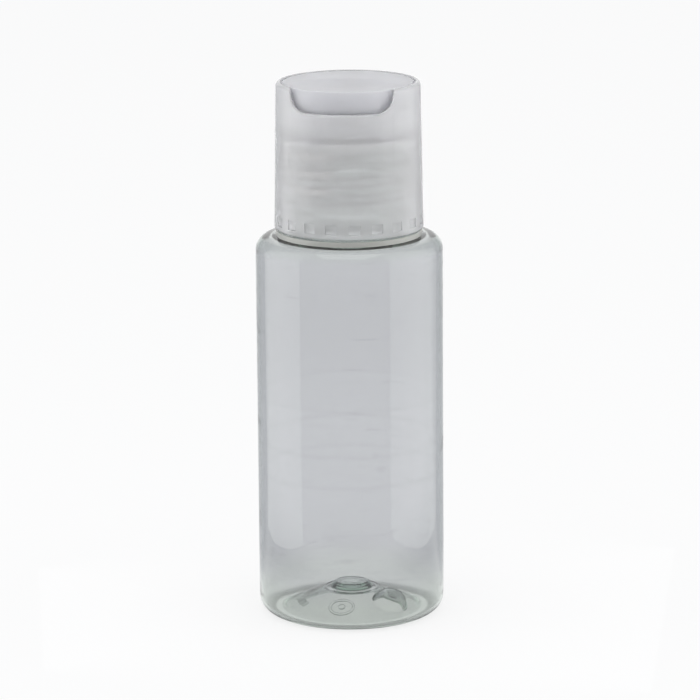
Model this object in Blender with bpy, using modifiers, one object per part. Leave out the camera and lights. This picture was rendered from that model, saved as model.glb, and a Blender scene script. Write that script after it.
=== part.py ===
"""A small refillable bottle with a press-open disc cap.

The bottle is a clear blown shell with a threaded neck and a pushed-up base. The cap screws on to
it, with a foam liner between them. A rocking disc in the top of the cap turns on two side pins:
pressed down at the thumb notch, its nozzle side comes up and its valve ball lines up with the cap.

Units are metres, +Z is up, and the origin is the centre of the circle that the bottle stands on.
The thumb notch faces -Y.
"""

import math

import bmesh
import bpy
from mathutils import Matrix, Vector

MM = 0.001
DEG = math.pi / 180

# Driving sizes of the bottle
body_radius = 17.25 * MM
bottle_height = 89.1 * MM
body_wall = 0.6 * MM
heel_radius = 3.0 * MM
standing_width = 1.3 * MM
shoulder_radius = 2.6 * MM
shoulder_slope = 20 * DEG

# Neck of the bottle
neck_radius = 10.6 * MM
neck_wall = 1.35 * MM
neck_length = 16.5 * MM
neck_edge = 0.25 * MM
neck_root_fillet = 0.6 * MM
neck_inner_fillet = 1.2 * MM
support_ring_reach = 2.9 * MM
support_ring_thickness = 0.75 * MM
support_ring_edge = 0.2 * MM
support_ring_step = 0.2 * MM
support_ring_overhang = 0.7 * MM
root_wall = 0.95 * MM
bead_stand = 0.85 * MM
bead_drop = 12.8 * MM
bead_crest_width = 0.6 * MM
bead_root_width = 1.5 * MM

# Thread on the neck, and its match in the cap
thread_pitch = 3.175 * MM
thread_depth = 1.2 * MM
thread_turns = 2.25
thread_root_width = 1.9 * MM
thread_crest_width = 0.9 * MM
thread_drop = 1.15 * MM
thread_start_angle = 10 * DEG
thread_fade_angle = 40 * DEG
thread_clearance = 0.3 * MM
thread_crest_clearance = 0.4 * MM
thread_sink = 0.3 * MM

# Base of the bottle
base_wall = 0.85 * MM
heel_wall = 0.65 * MM
push_up_height = 4.6 * MM
push_up_rise = 0.25 * MM
push_up_lip = 0.65 * MM
gate_radius = 2.7 * MM
gate_height = 5.5 * MM
gate_slant = 0.45 * MM
gate_nub_radius = 1.2 * MM
gate_nub_drop = 0.25 * MM
moat_inner_radius = 3.6 * MM
moat_outer_radius = 4.8 * MM

# Locating lug, pushed up into the base from below
lug_place_radius = 9.2 * MM
lug_angle = 60 * DEG
lug_base_radius = 3.3 * MM
lug_top_radius = 2.1 * MM
lug_height = 4.1 * MM
lug_wall = 0.7 * MM

# Liner
liner_thickness = 0.9 * MM
liner_seat_gap = 0.2 * MM
liner_edge_gap = 0.3 * MM
liner_hole_radius = 3.0 * MM

# Cap shell
cap_foot_wall = 1.6 * MM
cap_taper = 0.45 * MM
cap_foot_gap = 0.35 * MM
cap_foot_edge = 0.2 * MM
cap_head_round = 0.85 * MM
rim_wall = 0.95 * MM
rim_inner_edge = 0.1 * MM
well_depth = 8.45 * MM
well_fillet = 0.4 * MM
deck_thickness = 1.1 * MM
skirt_flare = 0.35 * MM
skirt_flare_height = 4.0 * MM

# Valve post in the cap
post_radius = 3.4 * MM
post_bore_radius = 2.2 * MM
post_fillet = 0.4 * MM
seat_web = 1.05 * MM
seat_gap = 0.3 * MM
seat_rim_drop = 2.3 * MM

# Thumb notch in the cap's rim
notch_depth = 4.3 * MM
notch_side_gap = 2.6 * MM
notch_side_slant = 1.5 * MM
notch_corner_radius = 1.4 * MM
notch_chamfer = 0.6 * MM

# Drive blocks around the foot of the cap
block_count = 20
block_share = 0.5
block_phase = 2.6 * DEG
block_foot = 1.0 * MM
block_height = 1.75 * MM
block_depth = 0.35 * MM

# Rocking disc
disc_gap = 0.27 * MM
disc_inset = 0.08 * MM
disc_plate = 1.5 * MM
disc_wall = 1.1 * MM
disc_skirt_drop = 2.4 * MM
disc_edge_round = 0.35 * MM
disc_inner_fillet = 0.4 * MM
pivot_depth = 1.9 * MM
tilt_angle = 19 * DEG

# Thumb dish in the disc
dish_side_margin = 1.43 * MM
dish_half_length = 7.4 * MM
dish_depth = 0.8 * MM

# Pins, ball and nozzle of the disc
pin_radius = 1.0 * MM
pin_reach = 0.6 * MM
pin_gap = 0.25 * MM
ball_radius = 3.2 * MM
ball_root_height = 0.9 * MM
nozzle_radius = 1.9 * MM
nozzle_bore_radius = 1.05 * MM
valve_slot_width = 2.6 * MM
valve_slot_gap = 0.9 * MM

# How far a cutter runs past what it cuts, and how finely round shapes are divided
overrun = 2.0 * MM
merge_distance = 0.001 * MM
turn_steps = 48
small_turn_steps = 28
thread_steps_per_turn = 32
smooth_angle = 32 * DEG

# Heights that follow from the sizes above
ring_top = bottle_height - neck_length
ring_bottom = ring_top - support_ring_thickness
cap_foot = ring_top + cap_foot_gap
liner_bottom = bottle_height + liner_seat_gap
deck_bottom = liner_bottom + liner_thickness + liner_seat_gap
deck_top = deck_bottom + deck_thickness
rim_top = deck_top + well_depth
disc_top = rim_top - disc_inset
pivot_height = disc_top - pivot_depth

# Radii and widths that follow from the sizes above
neck_bore_radius = neck_radius - neck_wall
support_ring_radius = neck_radius + support_ring_reach
skirt_bore_radius = neck_radius + thread_depth + thread_clearance
cap_thread_crest_radius = neck_radius + thread_crest_clearance
cap_foot_radius = skirt_bore_radius + cap_foot_wall
cap_head_radius = cap_foot_radius - cap_taper
well_radius = cap_head_radius - rim_wall
notch_head_half_width = well_radius - notch_side_gap
notch_foot_half_width = notch_head_half_width - notch_side_slant
disc_radius = well_radius - disc_gap
dish_half_width = disc_radius - dish_side_margin
seat_radius = ball_radius + seat_gap


def collection(name):
    """Makes a collection in the scene."""
    made = bpy.data.collections.new(name)
    bpy.context.scene.collection.children.link(made)
    return made


def plastic(name, colour, roughness, transmission):
    """Makes a plain plastic material."""
    made = bpy.data.materials.new(name)
    made.use_nodes = True
    shader = made.node_tree.nodes["Principled BSDF"]
    shader.inputs["Base Color"].default_value = (*colour, 1)
    shader.inputs["Roughness"].default_value = roughness
    shader.inputs["Metallic"].default_value = 0
    shader.inputs["Transmission Weight"].default_value = transmission
    return made


def arc(centre, radius, start, end, count):
    """Points on an arc in the profile plane, from one angle to another."""
    turn = [start + (end - start) * k / count for k in range(count + 1)]
    return [(centre[0] + radius * math.cos(a), centre[1] + radius * math.sin(a)) for a in turn]


def place(name, mesh, group):
    """Puts a mesh into the scene as a named object."""
    made = bpy.data.objects.new(name, mesh)
    group.objects.link(made)
    return made


def turned(name, profile, steps, group):
    """Turns a profile, which runs down its outer side, about the Z axis."""
    mesh = bpy.data.meshes.new(name)
    points = [(r, 0, z) for r, z in profile]
    mesh.from_pydata(points, [(k, k + 1) for k in range(len(points) - 1)], [])
    made = place(name, mesh, group)
    screw = made.modifiers.new("Turn", "SCREW")
    screw.angle = 2 * math.pi
    screw.steps = steps
    screw.render_steps = steps
    screw.use_merge_vertices = True
    screw.merge_threshold = merge_distance
    return made


def from_bmesh(name, form, group):
    """Makes an object of a finished bmesh, with its faces pointing out."""
    bmesh.ops.recalc_face_normals(form, faces=form.faces)
    mesh = bpy.data.meshes.new(name)
    form.to_mesh(mesh)
    form.free()
    return place(name, mesh, group)


def rod(name, radius, start, end, group):
    """Makes a round rod between two points."""
    way = Vector(end) - Vector(start)
    turn = way.to_track_quat("Z", "Y").to_matrix().to_4x4()
    centre = Matrix.Translation((Vector(start) + Vector(end)) / 2)
    form = bmesh.new()
    bmesh.ops.create_cone(
        form,
        cap_ends=True,
        segments=small_turn_steps,
        radius1=radius,
        radius2=radius,
        depth=way.length,
        matrix=centre @ turn,
    )
    return from_bmesh(name, form, group)


def block(name, size, matrix, group):
    """Makes a box of the given size, placed by a matrix."""
    form = bmesh.new()
    bmesh.ops.create_cube(form, size=1, matrix=matrix @ Matrix.Diagonal((*size, 1)))
    return from_bmesh(name, form, group)


def lofted(name, sections, group):
    """Joins closed sections, each with as many points, into one solid with flat ends."""
    form = bmesh.new()
    rings = [[form.verts.new(point) for point in section] for section in sections]
    form.faces.new(rings[0])
    form.faces.new(rings[-1])
    for low, high in zip(rings, rings[1:]):
        for k, corner in enumerate(low):
            form.faces.new((low[k - 1], corner, high[k], high[k - 1]))
    return from_bmesh(name, form, group)


def combine(target, tool, operation):
    """Adds a Boolean with a tool, which then shows as a wire guide only."""
    change = target.modifiers.new(tool.name, "BOOLEAN")
    change.operation = operation
    change.solver = "EXACT"
    change.object = tool
    tool.hide_render = True
    tool.display_type = "WIRE"


def settle(thing, material):
    """Applies an object's modifiers, shades its round faces smooth and gives it its material."""
    bpy.context.view_layer.update()
    graph = bpy.context.evaluated_depsgraph_get()
    mesh = bpy.data.meshes.new_from_object(thing.evaluated_get(graph))
    thing.modifiers.clear()
    thing.data = mesh
    mesh.name = thing.name
    mesh.shade_smooth()
    mesh.set_sharp_from_angle(angle=smooth_angle)
    mesh.materials.clear()
    mesh.materials.append(material)


def thread_ridge(name, wall, crest, middle_height, group):
    """Makes one helical ridge that stands on a wall radius and fades into it at both ends.

    The ridge starts at its top end and runs down. Its root is sunk into the wall."""
    outward = 1 if crest > wall else -1
    root = wall - outward * thread_sink
    count = round(thread_turns * thread_steps_per_turn)
    whole = 2 * math.pi * thread_turns
    sections = []
    for k in range(count + 1):
        run = whole * k / count
        share = min(1, run / thread_fade_angle, (whole - run) / thread_fade_angle)
        height = crest - wall
        top = wall - outward * thread_sink / 2 + (height + outward * thread_sink / 2) * share
        angle = thread_start_angle - run
        middle = middle_height - thread_pitch * run / (2 * math.pi)
        half_root = thread_root_width / 2
        half_top = half_root + (thread_crest_width / 2 - half_root) * share
        across = ((root, -half_root), (top, -half_top), (top, half_top), (root, half_root))
        way = Vector((math.sin(angle), -math.cos(angle), 0))
        sections.append([way * r + Vector((0, 0, middle + dz)) for r, dz in across])
    return lofted(name, sections, group)


def bottle_outer_profile():
    """The bottle's outside, from the rim down to the middle of the base."""
    bead_middle = bottle_height - bead_drop
    slope_start = support_ring_radius - support_ring_overhang
    shoulder_top = ring_bottom - support_ring_step
    centre_r = body_radius - shoulder_radius
    arc_end = centre_r + shoulder_radius * math.sin(shoulder_slope)
    slope_rise = (arc_end - slope_start) * math.tan(shoulder_slope)
    centre_z = shoulder_top - slope_rise - shoulder_radius * math.cos(shoulder_slope)
    fillet_r = neck_radius + neck_root_fillet
    stand_outer = body_radius - heel_radius
    stand_inner = stand_outer - standing_width
    return [
        (0, bottle_height),
        (neck_radius - neck_edge, bottle_height),
        (neck_radius, bottle_height - neck_edge),
        (neck_radius, bead_middle + bead_root_width / 2),
        (neck_radius + bead_stand, bead_middle + bead_crest_width / 2),
        (neck_radius + bead_stand, bead_middle - bead_crest_width / 2),
        (neck_radius, bead_middle - bead_root_width / 2),
        *arc((fillet_r, ring_top + neck_root_fillet), neck_root_fillet, math.pi, 1.5 * math.pi, 3),
        (support_ring_radius - support_ring_edge, ring_top),
        (support_ring_radius, ring_top - support_ring_edge),
        (support_ring_radius, ring_bottom + support_ring_edge),
        (support_ring_radius - support_ring_edge, ring_bottom),
        (slope_start, ring_bottom),
        (slope_start, shoulder_top),
        *arc((centre_r, centre_z), shoulder_radius, math.pi / 2 - shoulder_slope, 0, 6),
        *arc((stand_outer, heel_radius), heel_radius, 0, -math.pi / 2, 6),
        (stand_inner, 0),
        (stand_inner - push_up_lip, push_up_rise),
        (moat_outer_radius, push_up_height - base_wall),
        (gate_radius, push_up_height - base_wall + push_up_rise),
        (gate_nub_radius, push_up_height - base_wall + push_up_rise),
        (gate_nub_radius, push_up_height - base_wall + push_up_rise - gate_nub_drop),
        (0, push_up_height - base_wall + push_up_rise - gate_nub_drop),
    ]


def bottle_inner_profile():
    """The space inside the bottle, from above the rim down to the middle of the base."""
    shoulder_top = ring_bottom - support_ring_step
    centre_r = body_radius - shoulder_radius
    arc_end = centre_r + shoulder_radius * math.sin(shoulder_slope)
    slope_start = support_ring_radius - support_ring_overhang
    slope_rise = (arc_end - slope_start) * math.tan(shoulder_slope)
    centre_z = shoulder_top - slope_rise - shoulder_radius * math.cos(shoulder_slope)
    fillet_r = neck_bore_radius + neck_inner_fillet
    fillet_z = shoulder_top - root_wall + neck_inner_fillet
    stand_outer = body_radius - heel_radius
    stand_inner = stand_outer - standing_width
    inner_shoulder = shoulder_radius - body_wall
    inner_heel = heel_radius - heel_wall
    return [
        (0, bottle_height + overrun),
        (neck_bore_radius, bottle_height + overrun),
        *arc((fillet_r, fillet_z), neck_inner_fillet, math.pi, 1.5 * math.pi, 4),
        *arc((centre_r, centre_z), inner_shoulder, math.pi / 2 - shoulder_slope, 0, 6),
        (body_radius - body_wall, heel_radius + heel_radius),
        *arc((stand_outer, heel_radius), inner_heel, 0, -math.pi / 2, 6),
        (stand_inner - push_up_lip, push_up_rise + base_wall),
        (moat_outer_radius, push_up_height),
        (moat_inner_radius, push_up_height),
        (gate_radius + gate_slant, gate_height - gate_slant),
        (gate_radius, gate_height),
        (0, gate_height),
    ]


def lug_cone(name, shrink, group):
    """The locating lug's tapered form, from under the base, its walls and top drawn in."""
    low_radius = lug_base_radius - shrink
    high_radius = lug_top_radius - shrink
    top = lug_height - shrink
    depth = top + overrun
    widening = (low_radius - high_radius) * overrun / lug_height
    form = bmesh.new()
    bmesh.ops.create_cone(
        form,
        cap_ends=True,
        segments=small_turn_steps,
        radius1=low_radius + widening,
        radius2=high_radius,
        depth=depth,
        matrix=Matrix.Translation((0, 0, top - depth / 2)),
    )
    made = from_bmesh(name, form, group)
    made.location.x = lug_place_radius * math.sin(lug_angle)
    made.location.y = -lug_place_radius * math.cos(lug_angle)
    return made


def make_bottle(parts, cutters):
    """The clear bottle: a turned shell with a thread on its neck and a lug in its base."""
    bottle = turned("bottle", bottle_outer_profile(), turn_steps, parts)
    thread_top = bottle_height - thread_drop
    crest = neck_radius + thread_depth
    ridge = thread_ridge("neck_thread_form", neck_radius, crest, thread_top, cutters)
    combine(bottle, ridge, "UNION")
    space = turned("bottle_space", bottle_inner_profile(), turn_steps, cutters)
    combine(space, lug_cone("lug_form", 0, cutters), "DIFFERENCE")
    combine(bottle, space, "DIFFERENCE")
    combine(bottle, lug_cone("lug_pocket", lug_wall, cutters), "DIFFERENCE")
    return bottle


def liner_profile():
    """The liner's ring section, round from its top inner edge."""
    edge = skirt_bore_radius - liner_edge_gap
    top = liner_bottom + liner_thickness
    return [
        (liner_hole_radius, top),
        (edge, top),
        (edge, liner_bottom),
        (liner_hole_radius, liner_bottom),
        (liner_hole_radius, top),
    ]


def cap_profile():
    """The cap's section, from the valve seat out over the rim, down and in under the deck."""
    seat_middle = pivot_height - seat_radius
    seat_rim = pivot_height - seat_rim_drop
    seat_edge_angle = math.asin(seat_rim_drop / seat_radius)
    post_foot = (post_radius + post_fillet, deck_top + post_fillet)
    well_foot = (well_radius - well_fillet, deck_top + well_fillet)
    head_centre = (cap_head_radius - cap_head_round, rim_top - cap_head_round)
    skirt_foot = skirt_bore_radius + skirt_flare
    return [
        *arc((0, pivot_height), seat_radius, -math.pi / 2, -seat_edge_angle, 4),
        (post_radius, seat_rim),
        *arc(post_foot, post_fillet, math.pi, 1.5 * math.pi, 2),
        *arc(well_foot, well_fillet, -math.pi / 2, 0, 2),
        (well_radius, rim_top - rim_inner_edge),
        (well_radius + rim_inner_edge, rim_top),
        *arc(head_centre, cap_head_round, math.pi / 2, 0, 4)[1:],
        (cap_foot_radius, cap_foot + cap_foot_edge),
        (cap_foot_radius - cap_foot_edge, cap_foot),
        (skirt_foot, cap_foot),
        (skirt_bore_radius, cap_foot + skirt_flare_height),
        (skirt_bore_radius, deck_bottom),
        (post_bore_radius, deck_bottom),
        (post_bore_radius, seat_middle - seat_web),
        (0, seat_middle - seat_web),
    ]


def notch_outline(grow):
    """The thumb notch seen from the front, as x and z, its foot and sides set out by grow."""
    floor = rim_top - notch_depth - grow
    foot = notch_foot_half_width + grow
    head = notch_head_half_width + grow
    lean = math.atan(notch_side_slant / notch_depth)
    corner = notch_corner_radius + grow
    centre_x = foot - corner * math.tan((math.pi / 2 - lean) / 2)
    turns = arc((centre_x, floor + corner), corner, -math.pi / 2, -lean, 5)
    top = rim_top + overrun
    right = [*turns, (head + (overrun - grow) * math.tan(lean), top)]
    floor_steps = 4
    middle = [(centre_x * k / floor_steps, floor) for k in range(1 - floor_steps, floor_steps)]
    left = [(-x, z) for x, z in reversed(right)]
    return [*left, *middle, *right]


def notch_tool(cutters):
    """The notch's cutter: straight through the wall, and opened out to a chamfer outside it."""
    inner = notch_outline(0)
    outer = notch_outline(notch_chamfer)
    start = cap_head_radius - notch_chamfer
    draft = cap_taper / (rim_top - cap_foot)
    skin = cap_head_radius + draft * notch_depth

    def on_wall(outline, radius):
        return [(x, -math.sqrt(radius**2 - x**2), z) for x, z in outline]

    back = [(x, -well_radius / 2, z) for x, z in inner]
    front = [(x, -cap_foot_radius - overrun, z) for x, z in outer]
    sections = [back, on_wall(inner, start), on_wall(outer, skin), front]
    return lofted("notch_form", sections, cutters)


def block_tool(cutters):
    """The gaps between the drive blocks, cut into the foot of the cap."""
    pitch = 2 * math.pi / block_count
    width = 2 * cap_foot_radius * math.sin(pitch * (1 - block_share) / 2)
    depth = block_depth + overrun
    reach = cap_foot_radius - block_depth + depth / 2
    middle = cap_foot + block_foot + block_height / 2
    form = bmesh.new()
    for k in range(block_count):
        turn = Matrix.Rotation(block_phase + pitch * (k + 0.5), 4, "Z")
        shift = Matrix.Translation((0, -reach, middle))
        size = Matrix.Diagonal((width, depth, block_height, 1))
        bmesh.ops.create_cube(form, size=1, matrix=turn @ shift @ size)
    return from_bmesh("block_gaps", form, cutters)


def make_cap(parts, cutters):
    """The cap's shell: threaded skirt, deck with its valve post, and the well for the disc."""
    cap = turned("cap", cap_profile(), turn_steps, parts)
    thread_top = bottle_height - thread_drop - thread_pitch / 2
    wall = skirt_bore_radius
    ridge = thread_ridge("cap_thread_form", wall, cap_thread_crest_radius, thread_top, cutters)
    combine(cap, ridge, "UNION")
    combine(cap, notch_tool(cutters), "DIFFERENCE")
    combine(cap, block_tool(cutters), "DIFFERENCE")
    reach = disc_radius + pin_reach + pin_gap
    hole = pin_radius + pin_gap
    ends = ((-reach, 0, pivot_height), (reach, 0, pivot_height))
    combine(cap, rod("pin_sockets", hole, *ends, cutters), "DIFFERENCE")
    slot_height = seat_radius + seat_web + overrun
    slot_size = (valve_slot_width, valve_slot_gap, slot_height - post_bore_radius)
    slot_place = Matrix.Translation((0, 0, pivot_height - slot_height / 2 - post_bore_radius / 2))
    combine(cap, block("seat_slot", slot_size, slot_place, cutters), "DIFFERENCE")
    return cap


def disc_profile():
    """The disc's section about its pivot: flat top, ball-shaped edge, plate and open inside."""
    edge_angle = math.asin((pivot_depth - disc_edge_round) / disc_radius)
    foot_angle = math.asin(disc_skirt_drop / disc_radius)
    edge = disc_radius * math.cos(edge_angle)
    cut = disc_edge_round * (1 - math.sqrt(1 / 2))
    inner = disc_radius - disc_wall
    under = pivot_depth - disc_plate
    fillet = (inner - disc_inner_fillet, under - disc_inner_fillet)
    foot = disc_radius * math.cos(foot_angle)
    return [
        (0, pivot_depth),
        (edge - disc_edge_round, pivot_depth),
        (edge - cut, pivot_depth - cut),
        *arc((0, 0), disc_radius, edge_angle, -foot_angle, 6),
        (foot - disc_wall, -disc_skirt_drop),
        *arc(fillet, disc_inner_fillet, 0, math.pi / 2, 2),
        (0, under),
    ]


def ball_profile():
    """The valve ball below the disc's plate, its flat top hidden inside the plate."""
    top_angle = math.asin(ball_root_height / ball_radius)
    return [(0, ball_root_height), *arc((0, 0), ball_radius, top_angle, -math.pi / 2, 12)]


def nozzle_form(cutters):
    """The nozzle's body, a rounded rib from the ball to the disc's edge, under the plate."""
    outline = arc((0, 0), nozzle_radius, -math.pi, 0, 10)
    outline = [(-nozzle_radius, ball_root_height), *outline, (nozzle_radius, ball_root_height)]
    end = disc_radius - disc_wall / 2
    sections = [[(x, y, z) for x, z in outline] for y in (0, end)]
    return lofted("nozzle_form", sections, cutters)


def dish_tool(cutters):
    """The thumb dish's cutter: a shallow ball cap, drawn in along Y to an oval."""
    sphere = (dish_half_width**2 + dish_depth**2) / (2 * dish_depth)
    rise = dish_depth / 4
    edge_angle = math.acos((sphere - dish_depth - rise) / sphere)
    centre = (0, sphere - dish_depth)
    bowl = arc(centre, sphere, edge_angle - math.pi / 2, -math.pi / 2, 8)
    made = turned("dish_form", [(0, overrun), (bowl[0][0], overrun), *bowl], turn_steps, cutters)
    made.scale.y = dish_half_length / dish_half_width
    made.location.y = dish_half_length - disc_radius - disc_inset
    made.location.z = pivot_depth
    return made


def make_disc(parts, cutters):
    """The rocking disc, made about its pivot: plate, pins, valve ball and nozzle in one."""
    disc = turned("press_disc", disc_profile(), turn_steps, parts)
    combine(disc, turned("ball_form", ball_profile(), small_turn_steps, cutters), "UNION")
    combine(disc, nozzle_form(cutters), "UNION")
    for side, name in ((-1, "left_pin_form"), (1, "right_pin_form")):
        start = side * (disc_radius - disc_wall / 2)
        end = side * (disc_radius + pin_reach)
        combine(disc, rod(name, pin_radius, (start, 0, 0), (end, 0, 0), cutters), "UNION")
    combine(disc, dish_tool(cutters), "DIFFERENCE")
    bore_ends = ((0, -valve_slot_gap, 0), (0, disc_radius + overrun, 0))
    combine(disc, rod("nozzle_bore", nozzle_bore_radius, *bore_ends, cutters), "DIFFERENCE")
    slot_length = ball_radius + overrun
    slot_size = (valve_slot_width, valve_slot_gap, slot_length)
    lean = Matrix.Rotation(-tilt_angle, 4, "X")
    slot_place = lean @ Matrix.Translation((0, 0, -slot_length / 2))
    combine(disc, block("ball_slot", slot_size, slot_place, cutters), "DIFFERENCE")
    return disc


def clear_scene():
    """Removes what a new file starts with."""
    for thing in list(bpy.data.objects):
        bpy.data.objects.remove(thing)


def main():
    clear_scene()
    parts = collection("refillable_bottle")
    cutters = collection("cutters")
    clear_plastic = plastic("clear_pet", (0.86, 0.9, 0.89), 0.05, 0.9)
    frosted_plastic = plastic("frosted_pp", (0.8, 0.8, 0.83), 0.35, 0.3)
    disc_plastic = plastic("frosted_disc_pp", (0.83, 0.83, 0.87), 0.4, 0.2)
    foam = plastic("white_foam", (0.9, 0.9, 0.88), 0.9, 0)
    bottle = make_bottle(parts, cutters)
    settle(bottle, clear_plastic)
    liner = turned("cap_liner", liner_profile(), turn_steps, parts)
    settle(liner, foam)
    cap = make_cap(parts, cutters)
    settle(cap, frosted_plastic)
    disc = make_disc(parts, cutters)
    settle(disc, disc_plastic)
    disc.location.z = pivot_height
    disc.parent = cap


main()
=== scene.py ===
"""A small refillable bottle with a press-open disc cap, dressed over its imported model.

The clear bottle, the foam liner, the cap and its rocking disc are each made again as a fine mesh in
the place of their solid. Outlines are in millimetres and the meshes in metres. The thumb notch
faces -Y.
"""

import math

import bmesh
import bpy
from mathutils import Matrix, Vector


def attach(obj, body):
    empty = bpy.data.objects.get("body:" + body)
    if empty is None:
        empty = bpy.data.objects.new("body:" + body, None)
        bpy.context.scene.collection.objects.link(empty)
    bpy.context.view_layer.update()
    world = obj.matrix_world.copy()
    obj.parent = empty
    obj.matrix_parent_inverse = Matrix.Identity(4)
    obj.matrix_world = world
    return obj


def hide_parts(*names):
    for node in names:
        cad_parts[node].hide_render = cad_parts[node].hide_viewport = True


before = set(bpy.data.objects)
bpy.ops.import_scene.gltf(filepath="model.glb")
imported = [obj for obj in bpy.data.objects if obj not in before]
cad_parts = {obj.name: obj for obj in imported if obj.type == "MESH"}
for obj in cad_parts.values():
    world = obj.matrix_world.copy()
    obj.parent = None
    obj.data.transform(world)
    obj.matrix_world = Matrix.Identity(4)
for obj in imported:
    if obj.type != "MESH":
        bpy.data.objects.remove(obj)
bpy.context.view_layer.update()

scene = bpy.context.scene


# The bottle is one clear PET shell, blown in a two-part mould: its neck carries a right-hand
# thread, broken at the parting line, a bead and a support ring. Its base is pushed up to a moat and
# a gate, with a locating lug pressed in from below.
MM = 0.001
bottle_turn_steps = 176
bottle_sharp_angle = 24
body_radius, body_inside = 17.25, 16.65
ring_radius, ring_foot, ring_top = 13.5, 71.63, 72.6
neck_radius, bead_radius, bore_radius = 10.6, 11.45, 9.25
rim_height = 89.1
slope_head, slope_foot = (4.8, 3.75), (12.3, 0.25)

# Corners of r and z. A third number is the radius that rounds the corner.
bottle_outline = [
    # The base from its middle: the gate, the moat, the slope and the standing ring.
    (0, 3.75), (1.2, 3.75, 0.1), (1.25, 4.0, 0.1), (2.7, 4.0, 0.6), (*slope_head, 0.8),
    (*slope_foot, 0.5), (12.95, 0), (14.25, 0),
    # The heel, the shoulder and the support ring.
    (body_radius, 0, 3.0), (body_radius, 71.0, 2.6),
    (ring_radius, ring_foot, 0.1), (ring_radius, ring_top, 0.2),
    # The neck with its bead, and the rim.
    (neck_radius, ring_top, 0.6), (neck_radius, 75.55, 0.15),
    (bead_radius, 76.0, 0.2), (bead_radius, 76.6, 0.2),
    (neck_radius, 77.05, 0.15), (neck_radius, rim_height, 0.25), (bore_radius, rim_height, 0.2),
    # The inside, from the bore to the middle of the base.
    (bore_radius, 70.9, 0.15), (14.1, 70.9, 0.3), (body_inside, 70.45, 2.9),
    (body_inside, 6.0, 5.0), (16.55, 0.68, 2.2), (14.0, 0.68, 0.8), (12.3, 1.1, 0.6),
    (4.9, 4.55, 0.5), (3.9, 4.5, 0.3), (3.3, 5.4, 0.25), (2.9, 5.55, 0.15), (0, 5.5),
]

thread_pitch = 3.175
thread_turns = 2.25
thread_turn_steps = 96
thread_start = math.radians(10)
thread_fade = math.radians(40)
neck_thread_root = 10.3
neck_thread_section = [
    (10.3, 87.0), (10.3, 88.9), (10.75, 88.9, 0.1), (11.8, 88.38, 0.25), (11.8, 87.52, 0.25),
    (10.75, 87.0, 0.1),
]
parting_angle = math.radians(-5)
parting_gap_size = (1.0, 3, 20)
parting_gap_place = (0, -12.5, 83)


def rounded(corners, step=9):
    """Points of an outline whose corners are rounded, a step being the degrees between points."""
    points = []
    for k, (x, z, *fillet) in enumerate(corners):
        here = Vector((x, z))
        if not fillet:
            points.append(here)
            continue
        before = Vector(corners[k - 1][:2]) - here
        after = Vector(corners[(k + 1) % len(corners)][:2]) - here
        half = before.angle(after) / 2
        between = (before.normalized() + after.normalized()).normalized()
        centre = here + between * fillet[0] / math.sin(half)
        start = here + before.normalized() * fillet[0] / math.tan(half) - centre
        side = after.x * before.y - after.y * before.x
        sweep = math.copysign(math.pi - 2 * half, side)
        count = max(2, math.ceil(abs(math.degrees(sweep)) / step))
        for j in range(count + 1):
            points.append(centre + Matrix.Rotation(sweep * j / count, 2) @ start)
    return points


def turned(points, steps, closed=False):
    """Spins an outline of r and z about the Z axis into a closed skin."""
    form = bmesh.new()
    corners = [form.verts.new((r * MM, 0, z * MM)) for r, z in points]
    for a, b in zip(corners, corners[1:]):
        form.edges.new((a, b))
    if closed:
        form.edges.new((corners[-1], corners[0]))
    whole = form.verts[:] + form.edges[:]
    bmesh.ops.spin(
        form, geom=whole, axis=(0, 0, 1), angle=2 * math.pi, steps=steps, use_merge=True)
    bmesh.ops.remove_doubles(form, verts=form.verts, dist=0.002 * MM)
    bmesh.ops.recalc_face_normals(form, faces=form.faces)
    return form


def coiled(section, root):
    """Winds a closed section down the thread's helix, faded into its root at both ends."""
    form = bmesh.new()
    way = Matrix.Rotation(thread_start, 3, "Z")
    corners = [form.verts.new(way @ Vector((0, -r * MM, z * MM))) for r, z in section]
    for k, corner in enumerate(corners):
        form.edges.new((corners[k - 1], corner))
    whole = form.verts[:] + form.edges[:]
    bmesh.ops.spin(
        form, geom=whole, axis=(0, 0, 1), angle=-2 * math.pi * thread_turns,
        steps=round(thread_turns * thread_turn_steps),
        dvec=(0, 0, -thread_pitch * MM / thread_turn_steps))
    bmesh.ops.holes_fill(form, edges=[edge for edge in form.edges if edge.is_boundary])
    middle = sum(z for _, z in section) / len(section)
    for corner in form.verts:
        turn = (thread_start - math.atan2(corner.co.x, -corner.co.y)) % (2 * math.pi)
        lap = round((middle - corner.co.z / MM) / thread_pitch - turn / (2 * math.pi))
        run = turn + 2 * math.pi * lap
        left = 2 * math.pi * thread_turns - run
        share = max(0, min(1, run / thread_fade, left / thread_fade))
        radius = math.hypot(corner.co.x, corner.co.y) / MM
        corner.co.xy *= (root + (radius - root) * share) / radius
    bmesh.ops.recalc_face_normals(form, faces=form.faces)
    return form


def at(x, y, z):
    """A place in millimetres, as a matrix."""
    return Matrix.Translation((x * MM, y * MM, z * MM))


def turn_about(degrees, axis):
    """A turn about an axis, as a matrix."""
    return Matrix.Rotation(math.radians(degrees), 4, axis)


def box(size, place=Matrix(), form=None):
    """A box of the given sides at a place, in a new form or added to one."""
    if form is None:
        form = bmesh.new()
    sides = Matrix.Diagonal((*(side * MM for side in size), 1))
    bmesh.ops.create_cube(form, size=1, matrix=place @ sides)
    return form


def thing(name, form):
    """Makes a scene object of a finished form."""
    mesh = bpy.data.meshes.new(name)
    form.to_mesh(mesh)
    form.free()
    made = bpy.data.objects.new(name, mesh)
    scene.collection.objects.link(made)
    return made


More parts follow.
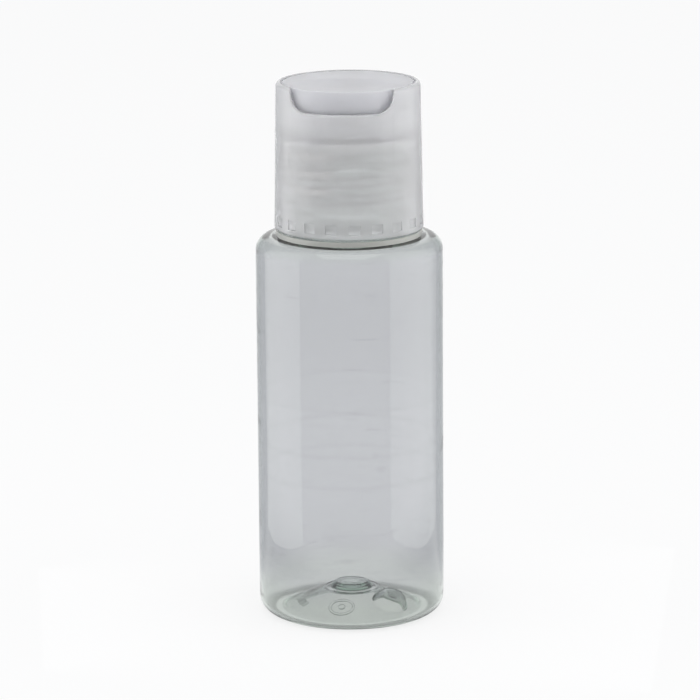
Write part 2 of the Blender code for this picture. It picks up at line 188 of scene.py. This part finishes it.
def combine(piece, tool, operation):
    """Joins a tool to a piece or cuts it out, and removes the tool."""
    change = piece.modifiers.new("Combine", "BOOLEAN")
    change.operation = operation
    change.solver = "EXACT"
    change.object = tool
    bpy.context.view_layer.update()
    graph = bpy.context.evaluated_depsgraph_get()
    mesh = bpy.data.meshes.new_from_object(piece.evaluated_get(graph))
    piece.modifiers.clear()
    piece.data = mesh
    bpy.data.objects.remove(tool)


def join(piece, name, form):
    """Joins a form to a piece."""
    combine(piece, thing(name, form), "UNION")


def cut(piece, name, form):
    """Cuts a form out of a piece."""
    combine(piece, thing(name, form), "DIFFERENCE")


def dress(piece, materials, sharp_angle, body, node):
    """Shades a finished piece, gives it its materials and puts it in its solid's place."""
    form = bmesh.new()
    form.from_mesh(piece.data)
    bmesh.ops.remove_doubles(form, verts=form.verts, dist=0.0005 * MM)
    bmesh.ops.dissolve_degenerate(form, edges=form.edges, dist=0.0005 * MM)
    form.to_mesh(piece.data)
    form.free()
    piece.data.shade_smooth()
    piece.data.set_sharp_from_angle(angle=math.radians(sharp_angle))
    for k, material in enumerate(materials):
        if k < len(piece.data.materials):
            piece.data.materials[k] = material
        else:
            piece.data.materials.append(material)
    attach(piece, body)
    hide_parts(node)


def add(tree, kind, values=None, sources=None):
    """Adds a shader node, sets its inputs and links sockets to others."""
    made = tree.nodes.new(kind)
    for name, value in (values or {}).items():
        made.inputs[name].default_value = value
    for name, source in (sources or {}).items():
        tree.links.new(source, made.inputs[name])
    return made


def new_material(name):
    """A material, its node tree and its shader."""
    made = bpy.data.materials.new(name)
    made.use_nodes = True
    return made, made.node_tree, made.node_tree.nodes["Principled BSDF"]


def own_place(tree):
    """The place on the piece itself, which patterns and tints go by."""
    return add(tree, "ShaderNodeTexCoord").outputs["Object"]


def noise(tree, place, scale, detail=2, flatness=1):
    """The level of a soft noise, flattened along Z."""
    if flatness != 1:
        squeeze = add(tree, "ShaderNodeMapping", {"Scale": (1, 1, flatness)}, {"Vector": place})
        place = squeeze.outputs["Vector"]
    values = {"Scale": scale, "Detail": detail}
    return add(tree, "ShaderNodeTexNoise", values, {"Vector": place}).outputs["Fac"]


def ranged(tree, level, span=(0, 1), result=(0, 1)):
    """Brings a level from one range to another."""
    values = {
        "From Min": span[0], "From Max": span[1], "To Min": result[0], "To Max": result[1],
    }
    return add(tree, "ShaderNodeMapRange", values, {"Value": level}).outputs["Result"]


def ramp(tree, level, stops):
    """The colour that a level has between stops of position and colour."""
    made = add(tree, "ShaderNodeValToRGB", {}, {"Fac": level})
    elements = made.color_ramp.elements
    for element, (position, colour) in zip(elements, (stops[0], stops[-1])):
        element.position, element.color = position, (*colour, 1)
    for position, colour in stops[1:-1]:
        elements.new(position).color = (*colour, 1)
    return made.outputs["Color"]


def mixed(tree, share, first, second, way="MIX"):
    """Two colours mixed. The share and the colours are sockets or values."""
    made = tree.nodes.new("ShaderNodeMix")
    made.data_type, made.blend_type = "RGBA", way
    colours = [socket for socket in made.inputs if socket.type == "RGBA"]
    for socket, given in zip((made.inputs[0], *colours), (share, first, second)):
        if isinstance(given, bpy.types.NodeSocket):
            tree.links.new(given, socket)
        else:
            socket.default_value = given
    return next(socket for socket in made.outputs if socket.type == "RGBA")


def relief(tree, shader, level, strength, distance):
    """Gives a shader a fine relief from a level, as deep as a distance in millimetres."""
    values = {"Strength": strength, "Distance": distance * MM}
    bump = add(tree, "ShaderNodeBump", values, {"Height": level})
    tree.links.new(bump.outputs["Normal"], shader.inputs["Normal"])


pet_refraction = 1.57
pet_depth_colour, pet_depth_density = (0.38, 0.62, 0.48, 1), 140
wave_scale, wave_flatness = 60, 2.6
wave_strength, wave_depth = 0.4, 0.25
streak_scale, streak_flatness, streak_detail = 170, 6, 3
streak_start, streak_end = 0.27, 0.36
streak_grey, white = (0.93, 0.93, 0.93), (1, 1, 1)
tint_height = 100
thick_foot, thick_head = 4.5, 71.5

# Heights and tones of the faint rings on the blown wall.
wall_rings = [
    (9, 0.96), (17, 1), (26.9, 1), (27.5, 0.965), (28.1, 1), (32.7, 1), (33.3, 0.965), (33.9, 1),
    (41.3, 1), (41.9, 0.965), (42.5, 0.985), (56, 0.965), (64, 0.975), (69, 1),
]


def clear_plastic(name, colour, end_colour, roughness, transmission=1):
    """Clear PET with the faint waves, streaks and rings of a blown wall.

    It has another tint at the thick base and above the shoulder, and one all through its depth.
    """
    made, tree, shader = new_material(name)
    shader.inputs["Roughness"].default_value = roughness
    shader.inputs["IOR"].default_value = pet_refraction
    shader.inputs["Transmission Weight"].default_value = transmission
    depth = add(
        tree, "ShaderNodeVolumeAbsorption",
        {"Color": pet_depth_colour, "Density": pet_depth_density})
    tree.links.new(depth.outputs["Volume"], tree.nodes["Material Output"].inputs["Volume"])
    place = own_place(tree)
    waves = noise(tree, place, wave_scale, flatness=wave_flatness)
    relief(tree, shader, waves, wave_strength, wave_depth)
    streaks = noise(tree, place, streak_scale, streak_detail, streak_flatness)
    streak_tone = ramp(tree, streaks, [(streak_start, streak_grey), (streak_end, white)])
    height = add(tree, "ShaderNodeSeparateXYZ", {}, {"Vector": place}).outputs["Z"]
    stops = [(thick_foot / tint_height, end_colour)]
    for ring_height, tone in wall_rings:
        stops.append((ring_height / tint_height, [part * tone for part in colour]))
    stops.append((thick_head / tint_height, end_colour))
    wall_tint = ramp(tree, ranged(tree, height, (0, tint_height * MM)), stops)
    tint = mixed(tree, 1, streak_tone, wall_tint, "MULTIPLY")
    tree.links.new(tint, shader.inputs["Base Color"])
    return made


bottle = thing("bottle_shell", turned(rounded(bottle_outline), bottle_turn_steps))
ridge = thing("neck_thread", coiled(rounded(neck_thread_section), neck_thread_root))
# The skins are the clear wall, the thread's painted-highlight half and the ring's painted-light
# side.
skins = clear_skin, painted_highlight_half, painted_light_ring_side = range(3)
for piece in (bottle, ridge):
    for skin in skins:
        piece.data.materials.append(None)
# The thread's half on the -X side of the parting line is painted pale: a painted highlight on the
# clear thread.
for face in ridge.data.polygons:
    if (Matrix.Rotation(-parting_angle, 3, "Z") @ face.center).x < 0:
        face.material_index = painted_highlight_half
# The support ring's outer side is painted a pale, less clear PET: painted light where the clear
# ring would show dark.
painted_light_ring_band = (ring_foot + 0.03, ring_top + 0.1)
for face in bottle.data.polygons:
    reach, height = math.hypot(face.center.x, face.center.y) / MM, face.center.z / MM
    if reach > ring_radius - 0.2 and painted_light_ring_band[0] < height < painted_light_ring_band[1]:
        face.material_index = painted_light_ring_side
parting = Matrix.Rotation(parting_angle, 4, "Z")
cut(ridge, "parting_gap", box(parting_gap_size, parting @ at(*parting_gap_place)))
combine(bottle, ridge, "UNION")

base_slope = math.atan((slope_head[1] - slope_foot[1]) / (slope_foot[0] - slope_head[0]))
lug_outline = [(0, 3.0), (2.1, 3.0, 1.3), (3.6, 0.3), (0, 0.3)]
lug_pocket_outline = [(0, 2.3), (1.69, 2.3, 0.8), (4.08, -2), (0, -2)]
lug_steps, lug_turn, lug_reach = 72, 60, 8.6
mould_ring_outline = [
    (1.9, 0.3), (1.9, -0.3), (1.98, -0.36), (2.3, -0.36), (2.38, -0.3), (2.38, 0.3),
]
mould_dot_outline = [(0, 0.3), (0.65, 0.3), (0.65, -0.36, 0.12), (0, -0.36)]
mould_ring_steps, mould_dot_steps = 64, 32
mark_turn, mark_reach = -6, 8.1
tick_size, tick_bevel = (0.4, 1.5, 1.0), 0.08
tick_lift, tick_reach = 0.15, 9.4
tick_count, tick_first, tick_apart = 9, -58, 8


def on_base(form, turn, reach):
    """Stands a form on the pushed-up base, square to its slope, at a reach from the middle."""
    height = slope_foot[1] + (slope_foot[0] - reach) * math.tan(base_slope)
    place = turn_about(turn, "Z") @ at(0, -reach, height)
    bmesh.ops.transform(form, matrix=place @ Matrix.Rotation(base_slope, 4, "X"), verts=form.verts)
    return form


lug = turned(rounded(lug_outline, 6), lug_steps)
join(bottle, "lug", on_base(lug, lug_turn, lug_reach))
lug_pocket = turned(rounded(lug_pocket_outline, 8), lug_steps)
cut(bottle, "lug_pocket", on_base(lug_pocket, lug_turn, lug_reach))
mould_ring = turned(mould_ring_outline, mould_ring_steps, closed=True)
join(bottle, "mould_ring", on_base(mould_ring, mark_turn, mark_reach))
mould_dot = turned(rounded(mould_dot_outline, 30), mould_dot_steps)
join(bottle, "mould_dot", on_base(mould_dot, mark_turn, mark_reach))
for k in range(tick_count):
    tick = box(tick_size)
    bmesh.ops.bevel(
        tick, geom=tick.edges[:], offset=tick_bevel * MM, affect="EDGES", segments=2,
        profile=0.5, material=-1)
    bmesh.ops.translate(tick, vec=(0, 0, tick_lift * MM), verts=tick.verts)
    join(bottle, "mould_tick", on_base(tick, tick_first - tick_apart * k, tick_reach))

wall_colour, thick_colour = (0.778, 0.77, 0.797), (0.765, 0.775, 0.765)
painted_highlight_colour, painted_light_ring_colour = (0.93, 0.91, 0.83), (0.94, 0.94, 0.88)
clear_pet = clear_plastic("clear_pet", wall_colour, thick_colour, 0.03)
# A pale, less clear PET that paints the highlight on the thread's half.
painted_highlight_pet = clear_plastic("painted_highlight_pet", painted_highlight_colour, painted_highlight_colour, 0.22, 0.28)
# A pale, less clear PET that paints light on the support ring's side.
painted_light_ring_pet = clear_plastic("painted_light_ring_pet", painted_light_ring_colour, painted_light_ring_colour, 0.2, 0.55)
dress(
    bottle, [clear_pet, painted_highlight_pet, painted_light_ring_pet], bottle_sharp_angle, "bottle", "bottle")


# The liner is a ring punched from closed white foam. It lies in the cap, between the bottle's rim
# and the cap's deck.
liner_turn_steps = 96
liner_sharp_angle = 40
liner_outline = [(3.0, 89.3, 0.15), (11.8, 89.3, 0.15), (11.8, 90.2, 0.15), (3.0, 90.2, 0.15)]
foam_white, foam_shade = (0.9, 0.9, 0.88), (0.78, 0.78, 0.76)
foam_roughness = 0.9
cell_scale, cell_strength, cell_depth = 3500, 0.5, 0.05


def foam_plastic(name):
    """White foam with fine closed cells."""
    made, tree, shader = new_material(name)
    shader.inputs["Roughness"].default_value = foam_roughness
    cells = add(tree, "ShaderNodeTexVoronoi", {"Scale": cell_scale}, {"Vector": own_place(tree)})
    depth = cells.outputs["Distance"]
    tone = ramp(tree, depth, [(0, foam_white), (1, foam_shade)])
    tree.links.new(tone, shader.inputs["Base Color"])
    relief(tree, shader, depth, cell_strength, cell_depth)
    return made


liner = thing("foam_liner", turned(rounded(liner_outline, 30), liner_turn_steps, closed=True))
white_foam = foam_plastic("white_foam")
dress(liner, [white_foam], liner_sharp_angle, "cap_liner", "cap_liner")


# The cap is moulded in natural polypropylene: a skirt with the matching thread and a ring of drive
# blocks at its foot, a deck with the valve post, and above it the well in which the disc rocks on
# two side pins. A thumb notch is cut into the well's rim.
cap_turn_steps = 176
cap_sharp_angle = 24
cap_top, cap_foot, foot_radius = 99.95, 72.95, 13.7
deck_top, deck_under = 91.15, 90.4
well_radius, skirt_inside = 12.3, 12.1
post_radius, post_inside = 3.4, 2.2
pivot_height = 97.97
cap_outline = [
    # The valve post's seat and side.
    (0, 94.47), (2.45, 95.47, 1.5), (2.66, 95.67), (post_radius, 95.67, 0.15),
    (post_radius, deck_top, 0.4),
    # The deck, the well's wall, the rim and the outside.
    (well_radius, deck_top, 1.5), (well_radius, cap_top, 0.12), (13.25, cap_top, 0.75),
    (foot_radius, cap_foot, 0.2),
    # The inside of the skirt, the deck's underside and the hollow post.
    (12.45, cap_foot, 0.15), (skirt_inside, 76.95, 0.5), (skirt_inside, deck_under, 0.75),
    (post_inside, deck_under, 0.15), (post_inside, 93.42, 0.2), (0, 93.42),
]
cap_thread_root = 12.4
cap_thread_section = [
    (12.4, 85.41), (12.4, 87.31), (11.95, 87.31, 0.1), (11.0, 86.8, 0.25), (11.0, 85.92, 0.25),
    (11.95, 85.41, 0.1),
]
notch_top, notch_floor = 101.5, 95.75
notch_head_half, notch_floor_half = 9.8, 8.7
notch_corner, notch_edge, notch_skin = 2.8, 0.4, 13.3
notch_start, notch_end, notch_lead = 6, 17, 0.7
block_count, block_turn = 20, 2.6
block_gap_turn, block_gap_depth, block_gap_rise = 9, 3, 1.75
block_gap_height, block_gap_radius, block_gap_bevel = 74.825, 13.42, 0.12
socket_radius, socket_reach = 1.25, 12.88
slot_length, slot_width = 2.6, 0.9
seat_slot_rise, seat_slot_height = 4.5, 94.0
skirt_colour = (0.95, 0.95, 0.97)
pp_refraction, pp_scatter = 1.49, 2
cloud_scale, cloud_detail, cloud_shade = 140, 4, 0.96
cloud_start, cloud_end = 0.3, 0.7
satin_scale, satin_strength, satin_depth = 2600, 0.12, 0.04
milky_from, milky_to = 88.5, 93.5


def frosted_plastic(name, colour, transmission, roughness, top=None):
    """Natural polypropylene: milky, let through by light, with a fine satin skin.

    The top is the transmission and the tone of the thicker plastic above the deck.
    """
    made, tree, shader = new_material(name)
    shader.inputs["IOR"].default_value = pp_refraction
    shader.inputs["Transmission Weight"].default_value = transmission
    shader.inputs["Subsurface Weight"].default_value = 1
    shader.inputs["Subsurface Radius"].default_value = (1, 1, 1)
    shader.inputs["Subsurface Scale"].default_value = pp_scatter * MM
    place = own_place(tree)
    cloud = noise(tree, place, cloud_scale, cloud_detail)
    darker = [part * cloud_shade for part in colour]
    tone = ramp(tree, cloud, [(cloud_start, darker), (cloud_end, colour)])
    if top:
        top_transmission, top_tone = top
        height = add(tree, "ShaderNodeSeparateXYZ", {}, {"Vector": place}).outputs["Z"]
        rise = ranged(tree, height, (milky_from * MM, milky_to * MM))
        clarity = ranged(tree, rise, result=(transmission, top_transmission))
        tree.links.new(clarity, shader.inputs["Transmission Weight"])
        tone = mixed(tree, rise, tone, (top_tone, top_tone, top_tone, 1), "MULTIPLY")
    tree.links.new(tone, shader.inputs["Base Color"])
    gloss = ranged(tree, cloud, result=(roughness - 0.03, roughness + 0.05))
    tree.links.new(gloss, shader.inputs["Roughness"])
    relief(tree, shader, noise(tree, place, satin_scale), satin_strength, satin_depth)
    return made


def notch_cutter():
    """The thumb notch: straight through the wall, its outer edge opened out in a round."""
    # Each level is this much wider, and lies on a round wall of this radius or at this flat end.
    levels = [(0, 0, notch_start), (0, notch_skin - notch_edge - notch_lead, 0)]
    for turn in map(math.radians, (0, 22, 45, 68, 90)):
        wider = notch_edge * (1 - math.cos(turn))
        levels.append((wider, notch_skin - notch_edge + notch_edge * math.sin(turn), 0))
    levels.append((notch_edge, 0, notch_end))
    form = bmesh.new()
    faces = []
    for wider, radius, end in levels:
        head, foot = notch_head_half + wider, notch_floor_half + wider
        floor, corner = notch_floor - wider, notch_corner + wider
        flat = rounded(
            [(-head, notch_top), (-foot, floor, corner), (foot, floor, corner), (head, notch_top)],
            10)
        middle = len(flat) // 2
        flat[middle:middle] = [flat[middle - 1].lerp(flat[middle], k / 12) for k in range(1, 12)]
        if not faces:
            ring = [form.verts.new((x * MM, 0, z * MM)) for x, z in flat]
            faces.append(form.faces.new(ring))
        else:
            order = {tuple(point.co): k for k, point in enumerate(ring)}
            made = bmesh.ops.extrude_face_region(form, geom=[faces[-1]])["geom"]
            faces.append([part for part in made if isinstance(part, bmesh.types.BMFace)][0])
            ring = sorted(faces[-1].verts, key=lambda point: order[tuple(point.co)])
        for point, (x, z) in zip(ring, flat):
            point.co = (x * MM, -(end or math.sqrt(radius**2 - x**2)) * MM, z * MM)
    bmesh.ops.delete(form, geom=faces[1:-1], context="FACES_ONLY")
    bmesh.ops.recalc_face_normals(form, faces=form.faces)
    return form


def block_gaps():
    """The gaps between the drive blocks round the foot of the cap."""
    form = bmesh.new()
    width = 2 * foot_radius * math.sin(math.radians(block_gap_turn / 2))
    for k in range(block_count):
        place = turn_about(block_turn + 360 / block_count * (k + 0.5), "Z") @ at(
            0, -(block_gap_radius + block_gap_depth / 2), block_gap_height)
        box((width, block_gap_depth, block_gap_rise), place, form)
    bmesh.ops.bevel(
        form, geom=form.edges[:], offset=block_gap_bevel * MM, offset_type="OFFSET",
        affect="EDGES", segments=2, profile=0.5, material=-1)
    bmesh.ops.recalc_face_normals(form, faces=form.faces)
    return form


def rod(radius, start, end, sides=48):
    """A round rod between two points."""
    way = Vector(end) - Vector(start)
    place = Matrix.Translation((Vector(start) + Vector(end)) / 2 * MM)
    turn = way.to_track_quat("Z", "Y").to_matrix().to_4x4()
    form = bmesh.new()
    bmesh.ops.create_cone(
        form, cap_ends=True, segments=sides, radius1=radius * MM, radius2=radius * MM,
        depth=way.length * MM, matrix=place @ turn)
    return form


cap = thing("cap_shell", turned(rounded(cap_outline), cap_turn_steps))
join(cap, "cap_thread", coiled(rounded(cap_thread_section), cap_thread_root))
cut(cap, "notch", notch_cutter())
cut(cap, "block_gaps", block_gaps())
cut(cap, "pin_sockets", rod(
    socket_radius, (-socket_reach, 0, pivot_height), (socket_reach, 0, pivot_height)))
seat_slot = box((slot_length, slot_width, seat_slot_rise), at(0, 0, seat_slot_height))
cut(cap, "seat_slot", seat_slot)
frosted_pp = frosted_plastic("frosted_pp", skirt_colour, 0.66, 0.19, top=(0.53, 0.96))
dress(cap, [frosted_pp], cap_sharp_angle, "cap", "cap")


# The disc is the second polypropylene moulding: a plate with a shallow thumb dish and a ball-shaped
# edge, side pins, and below it the valve ball with its nozzle to the back. Its heights are from the
# pins.
disc_turn_steps = 176
disc_sharp_angle = 7
edge_ball, edge_top, edge_foot = 12.14, 1.55, -2.4
plate_top, plate_under = 1.9, 0.4
ball_radius, ball_top, ball_joint = 3.2, 0.9, 16.3
ball_steps = 64
nozzle_radius, nozzle_reach = 1.9, 11.5
bore_start, bore_end, nozzle_bore = -0.9, 14, 1.05
pin_radius, pin_start, pin_end = 1.0, 11.5, 12.63
dish_radius, dish_depth, dish_half_width, dish_middle = 10.6, 0.8, 7.4, -4.71
ball_slot_rise, open_tilt = 5.2, 19
plate_colour = (0.82, 0.82, 0.85)


def about_pivot(form):
    """Lifts what was made about the pins to their height in the cap."""
    bmesh.ops.translate(form, vec=(0, 0, pivot_height * MM), verts=form.verts)
    return form


def arc(radius, start, end, count, middle=(0, 0)):
    """Points on an arc of the outline, between two angles in degrees."""
    turns = [math.radians(start + (end - start) * k / count) for k in range(count + 1)]
    return [(middle[0] + radius * math.cos(a), middle[1] + radius * math.sin(a)) for a in turns]


def nozzle_tube():
    """The nozzle from the valve ball to the back: round below and flat on top."""
    form = bmesh.new()
    outline = [
        (-nozzle_radius, ball_top), *arc(nozzle_radius, -180, 0, 20), (nozzle_radius, ball_top)]
    rims = []
    for y in (0, nozzle_reach):
        ring = [form.verts.new((x * MM, y * MM, z * MM)) for x, z in outline]
        rims.append([form.edges.new((ring[k - 1], ring[k])) for k in range(len(ring))])
    bmesh.ops.bridge_loops(form, edges=rims[0] + rims[1])
    bmesh.ops.holes_fill(form, edges=rims[0] + rims[1])
    bmesh.ops.recalc_face_normals(form, faces=form.faces)
    return form


def thumb_dish():
    """The dish: part of a ball, drawn to an oval, that lies under the thumb on the notch's side."""
    ball = (dish_radius**2 + dish_depth**2) / (2 * dish_depth)
    brim = math.degrees(math.acos((ball - dish_depth - 0.2) / ball))
    bowl = arc(ball, brim - 90, -90, 20, (0, ball - dish_depth))
    form = turned([(0, 2.0), (bowl[0][0], 2.0), *bowl], disc_turn_steps)
    bmesh.ops.scale(form, vec=(1, dish_half_width / dish_radius, 1), verts=form.verts)
    bmesh.ops.translate(form, vec=(0, dish_middle * MM, plate_top * MM), verts=form.verts)
    return form


disc_edge = arc(
    edge_ball, math.degrees(math.asin(edge_top / edge_ball)),
    math.degrees(math.asin(edge_foot / edge_ball)), 14)
plate_rim = rounded(
    [(0, plate_top), (disc_edge[0][0] - 0.02, plate_top, 0.3), disc_edge[0]], 12)
plate_inside = rounded(
    [disc_edge[-1], (10.7, edge_foot, 0.1), (10.93, plate_under, 0.4), (0, plate_under)], 15)
disc_outline = [(0, plate_top), *plate_rim[1:-1], *disc_edge, *plate_inside[1:]]
disc = thing("rocking_disc", about_pivot(turned(disc_outline, disc_turn_steps)))
valve_ball = turned([(0, ball_top), *arc(ball_radius, ball_joint, -90, 20)], ball_steps)
join(disc, "valve_ball", about_pivot(valve_ball))
join(disc, "nozzle", about_pivot(nozzle_tube()))
for side in (-1, 1):
    pin = rod(pin_radius, (side * pin_start, 0, 0), (side * pin_end, 0, 0))
    join(disc, "pin", about_pivot(pin))
cut(disc, "dish", about_pivot(thumb_dish()))
cut(disc, "nozzle_bore", about_pivot(rod(nozzle_bore, (0, bore_start, 0), (0, bore_end, 0))))
ball_slot = box(
    (slot_length, slot_width, ball_slot_rise),
    turn_about(-open_tilt, "X") @ at(0, 0, -ball_slot_rise / 2))
cut(disc, "ball_slot", about_pivot(ball_slot))
disc_pp = frosted_plastic("frosted_disc_pp", plate_colour, 0.45, 0.38)
dress(disc, [disc_pp], disc_sharp_angle, "press_disc", "press_disc")


# The studio: a pale floor in a white room, a soft light overhead and one at each side, low down,
# whose reflections stand on the bottle as two pale bands.
room_colour, room_strength = (0.97, 0.98, 1, 1), 0.85
corner_grey = (0.58, 0.59, 0.61)
corner_spread = (0.42, 0.56, 0.92, 0.985)
room_back = (-0.128, 0.992, 0)
near_reach = (0.02, 0.05)
floor_radius, floor_colour, floor_roughness = 3, (0.9, 0.9, 0.9, 1), 0.9
floor_glow = 0.8
# A painted contact shadow: in a ring round the bottle's standing ring, the floor's glow seen in
# reflections and through the plastic drops to this level.
painted_shadow_floor = (0.25, 0.25, 0.25)
lit_floor = (floor_glow, floor_glow, floor_glow)
shade_reach, shade_spread = 0.04, (0.34, 0.37, 0.43, 0.47)


def larger(tree, first, second):
    """The larger of two levels."""
    made = tree.nodes.new("ShaderNodeMath")
    made.operation = "MAXIMUM"
    tree.links.new(first, made.inputs[0])
    tree.links.new(second, made.inputs[1])
    return made.outputs[0]


def vector(tree, operation, source, other=None):
    """The result of a sum on a vector: a number for a length or a dot product."""
    made = tree.nodes.new("ShaderNodeVectorMath")
    made.operation = operation
    tree.links.new(source, made.inputs[0])
    if other:
        made.inputs[1].default_value = other
    return made.outputs["Value" if operation in ("LENGTH", "DOT_PRODUCT") else "Vector"]


def seen_share(tree):
    """Camera, glossy and transmission rays, for which the background is plain white."""
    path = add(tree, "ShaderNodeLightPath").outputs
    share = larger(tree, path["Is Camera Ray"], path["Is Glossy Ray"])
    return larger(tree, share, path["Is Transmission Ray"])


def grey_corners(tree, place):
    """The colour of what the bottle mirrors: white, but grey in the room's two far corners."""
    unit = vector(tree, "NORMALIZE", vector(tree, "MULTIPLY", place, (1, 1, 0)))
    back = vector(tree, "DOT_PRODUCT", unit, room_back)
    tones = (white, corner_grey, corner_grey, white)
    tone = ramp(tree, back, list(zip(corner_spread, tones)))
    near = ranged(tree, vector(tree, "LENGTH", place), near_reach, (1, 0))
    camera_ray = add(tree, "ShaderNodeLightPath").outputs["Is Camera Ray"]
    return mixed(tree, larger(tree, camera_ray, near), tone, (*white, 1))


def mixed_shaders(tree, share, first, second):
    """Two shaders mixed by a share."""
    made = add(tree, "ShaderNodeMixShader", {}, {"Fac": share})
    tree.links.new(first, made.inputs[1])
    tree.links.new(second, made.inputs[2])
    return made.outputs["Shader"]


world = bpy.data.worlds.new("white_room")
world.use_nodes = True
scene.world = world
tree = world.node_tree
room = tree.nodes["Background"]
room.inputs["Color"].default_value = room_colour
room.inputs["Strength"].default_value = room_strength
direction = add(tree, "ShaderNodeTexCoord").outputs["Generated"]
seen = add(tree, "ShaderNodeBackground", {}, {"Color": grey_corners(tree, direction)})
surface = mixed_shaders(
    tree, seen_share(tree), room.outputs["Background"], seen.outputs["Background"])
tree.links.new(surface, tree.nodes["World Output"].inputs["Surface"])

floor_form = bmesh.new()
bmesh.ops.create_circle(floor_form, cap_ends=True, radius=floor_radius, segments=96)
floor = thing("studio_floor", floor_form)
floor_paint, tree, paint = new_material("studio_floor")
paint.inputs["Base Color"].default_value = floor_colour
paint.inputs["Roughness"].default_value = floor_roughness
paint.inputs["Specular IOR Level"].default_value = 0
place = own_place(tree)
glow = add(tree, "ShaderNodeEmission", {}, {"Color": grey_corners(tree, place)})
# Painted contact shadow: the glow is turned down in a fixed ring round the standing ring, so the
# floor's real shading shows there in the bottle.
reach = ranged(tree, vector(tree, "LENGTH", place), (0, shade_reach))
painted_shadow_tones = (lit_floor, painted_shadow_floor, painted_shadow_floor, lit_floor)
under = ramp(tree, reach, list(zip(shade_spread, painted_shadow_tones)))
camera_ray = add(tree, "ShaderNodeLightPath").outputs["Is Camera Ray"]
open_floor = ranged(tree, camera_ray, result=(0, floor_glow))
share = tree.nodes.new("ShaderNodeMath")
share.operation = "MULTIPLY"
tree.links.new(seen_share(tree), share.inputs[0])
tree.links.new(larger(tree, open_floor, under), share.inputs[1])
surface = mixed_shaders(tree, share.outputs[0], paint.outputs["BSDF"], glow.outputs["Emission"])
tree.links.new(surface, tree.nodes["Material Output"].inputs["Surface"])
floor.data.materials.append(floor_paint)


def soft_light(name, place, target, width, height, radiance, spread):
    """An area light that faces a point, with its brightness as seen in a mirror."""
    lamp = bpy.data.lights.new(name, "AREA")
    lamp.shape = "RECTANGLE"
    lamp.size, lamp.size_y = width, height
    lamp.energy = radiance * math.pi * width * height
    lamp.spread = math.radians(spread)
    made = bpy.data.objects.new(name, lamp)
    scene.collection.objects.link(made)
    made.location = place
    made.rotation_euler = (Vector(target) - Vector(place)).to_track_quat("-Z", "Y").to_euler()
    made.visible_camera = made.visible_transmission = False


side_height, side_rise, side_radiance, side_spread = 0.08, 0.16, 0.42, 120
for name, x, y, width in (
        ("left_light", -0.057, -0.0125, 0.065), ("right_light", 0.0585, 0, 0.091)):
    soft_light(
        name, (x, y, side_height), (0, 0, side_height), width, side_rise, side_radiance,
        side_spread)
top_size, top_radiance, top_spread = 0.5, 1.0, 180
soft_light(
    "top_light", (0, -0.15, 0.65), (0, 0, 0.05), top_size, top_size, top_radiance, top_spread)

camera_distance = 0.7337
camera_azimuth = math.radians(7.35)
camera_elevation = math.radians(13.29)
camera_roll = math.radians(-0.435)
aim = Vector((0, 0, 0.04952))
lens = bpy.data.cameras.new("camera")
lens.sensor_width = 36
lens.lens = 203.8
camera = bpy.data.objects.new("camera", lens)
scene.collection.objects.link(camera)
way = Vector((
    math.sin(camera_azimuth) * math.cos(camera_elevation),
    -math.cos(camera_azimuth) * math.cos(camera_elevation),
    math.sin(camera_elevation),
))
camera.location = aim + way * camera_distance
turn = (-way).to_track_quat("-Z", "Y").to_matrix() @ Matrix.Rotation(camera_roll, 3, "Z")
camera.rotation_euler = turn.to_euler()
scene.camera = camera
scene.view_settings.view_transform = "Standard"
